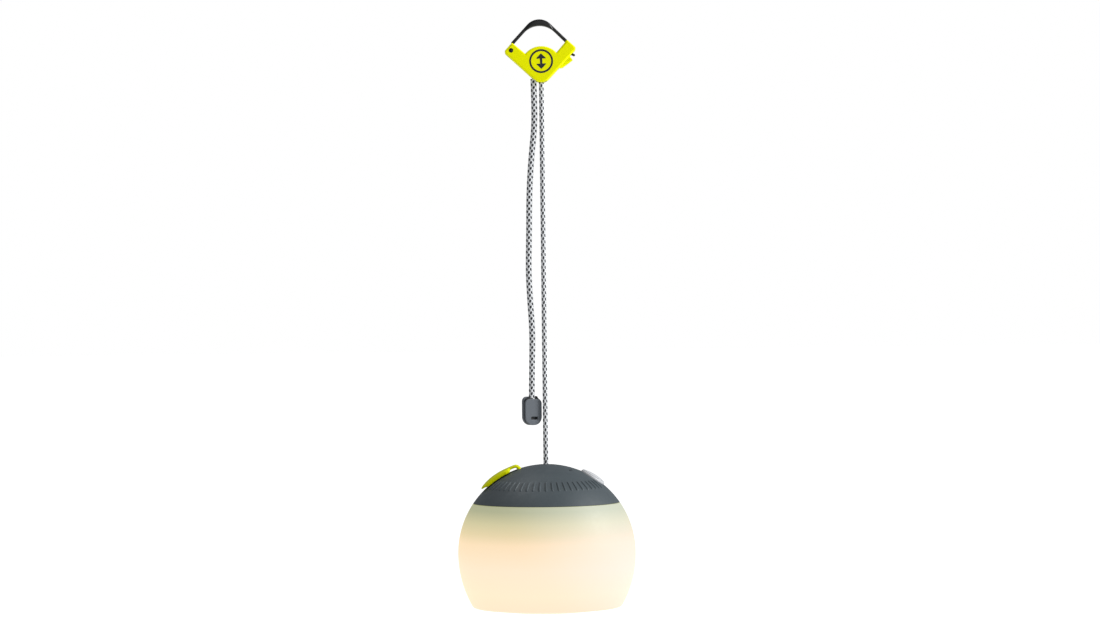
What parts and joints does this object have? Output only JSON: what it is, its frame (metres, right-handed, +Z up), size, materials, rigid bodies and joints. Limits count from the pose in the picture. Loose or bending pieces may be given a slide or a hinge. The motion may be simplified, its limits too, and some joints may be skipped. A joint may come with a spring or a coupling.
{
  "type": "hanging camping lantern",
  "caption": "Round frosted lantern on a braided cord, hung from a bail hook whose sprung cam locks the cord at any length.",
  "frame": {"origin": "middle of the underside of the bail's crown, where the lantern hangs", "axes": "+Z up along the loaded cord, +X to the right seen from the front, the front with the badge faces -Y"},
  "size_m": [0.12, 0.12, 0.3989],
  "materials": {
    "lock_lime": "moulded satin lime nylon",
    "badge_slate": "flush slate inlay",
    "bail_black": "black glass-filled nylon",
    "steel": "plain steel",
    "black_steel": "blackened steel",
    "sheave_white": "white acetal",
    "cord_braid": "light grey braid with slate flecks",
    "tag_slate": "slate soft-touch plastic",
    "dome_slate": "slate soft-touch plastic",
    "globe_frosted": "frosted translucent plastic, lit from inside",
    "seal_black": "black silicone",
    "flap_lime": "lime silicone",
    "button_grey": "translucent light grey",
    "lens_smoke": "smoked light pipe",
    "drum_white": "white ABS",
    "board_green": "solder mask",
    "board_white": "white solder mask",
    "chip_black": "moulded package",
    "led_yellow": "phosphor",
    "cell_wrap": "shrink wrap over a steel can",
    "nickel": "nickel strip",
    "lead_insulation": "wire insulation"
  },
  "bodies": {
    "lock": {"lock_front_shell": "lock_lime", "lock_rear_shell": "lock_lime", "badge_ring": "badge_slate", "badge_symbol": "badge_slate", "lock_screws": "black_steel", "bail_pin": "black_steel", "cam_pin": "steel", "sheave_pin": "steel", "cord_lock_run": "cord_braid", "cam_spring": "steel"},
    "bail": {"bail": "bail_black"},
    "cam": {"cam_lever": "lock_lime"},
    "sheave": {"sheave": "sheave_white"},
    "suspension": {"cord_suspension": "cord_braid"},
    "anchor": {"anchor_washer": "steel", "cord_knot": "cord_braid"},
    "lamp": {"dome_shell": "dome_slate", "globe": "globe_frosted", "globe_seal": "seal_black", "flap_foot": "flap_lime", "port_bezel": "seal_black", "usb_a_socket": "nickel", "usb_c_socket": "nickel", "port_board": "board_green", "indicator_lenses": "lens_smoke", "switch_body": "chip_black", "button_board": "board_green", "button_board_screws": "steel", "inner_drum": "drum_white", "drum_screws": "steel", "led_board": "board_white", "led_chips": "led_yellow", "led_board_screws": "steel", "battery_cells": "cell_wrap", "cell_cradle": "drum_white", "cell_tabs": "nickel", "cell_cover": "drum_white", "control_board": "board_green", "control_parts": "chip_black", "battery_leads": "lead_insulation", "led_leads": "lead_insulation"},
    "button": {"button_cap": "button_grey", "switch_plunger": "chip_black"},
    "flap": {"port_flap": "flap_lime"},
    "tail": {"cord_tail": "cord_braid"},
    "tag": {"tag_front": "tag_slate", "tag_core": "seal_black", "tag_rear": "tag_slate"}
  },
  "joints": [
    {"name": "bail_open", "type": "hinge", "parent": "lock", "child": "bail", "pos_m": [-0.0202, 0, -0.01633], "axis": [0, -1, 0], "range_deg": [0, 70]},
    {"name": "cam_press", "type": "hinge", "parent": "lock", "child": "cam", "pos_m": [0.01222, 0, -0.02448], "axis": [0, -1, 0], "range_deg": [0, 10], "stiffness_Nm_per_rad": 0.03, "deforming": ["cam_spring"]},
    {"name": "sheave_spin", "type": "hinge", "parent": "lock", "child": "sheave", "pos_m": [-0.002, 0, -0.02385], "axis": [0, -1, 0], "continuous": true},
    {"name": "lamp_swing", "type": "hinge", "parent": "lock", "child": "suspension", "pos_m": [0, 0, -0.0379], "axis": [1, 0, 0], "range_deg": [-40, 40]},
    {"name": "lamp_height", "type": "slide", "parent": "suspension", "child": "anchor", "axis": [0, 0, 1], "range_m": [-0.2, 0], "deforming": ["cord_suspension"]},
    {"name": "lamp_spin", "type": "hinge", "parent": "anchor", "child": "lamp", "pos_m": [0, 0, -0.2985], "axis": [0, 0, 1], "continuous": true},
    {"name": "button_press", "type": "slide", "parent": "lamp", "child": "button", "axis": [-0.5284, 0, -0.849], "range_m": [0, 0.001], "stiffness_N_per_m": 1500},
    {"name": "flap_open", "type": "hinge", "parent": "lamp", "child": "flap", "pos_m": [-0.02093, 0, -0.29662], "axis": [0, 1, 0], "range_deg": [0, 100]},
    {"name": "tail_swing", "type": "hinge", "parent": "lock", "child": "tail", "pos_m": [-0.0054, 0, -0.0354], "axis": [1, 0, 0], "range_deg": [-40, 40]},
    {"name": "tag_height", "type": "slide", "parent": "tail", "child": "tag", "axis": [0, 0, 1], "range_m": [0, 0.2], "deforming": ["cord_tail"]}
  ],
  "couplings": [
    {"joint": "tag_height", "follows": "lamp_height", "ratio": -1},
    {"joint": "sheave_spin", "follows": "lamp_height", "rad_per_m": 266.67}
  ]
}
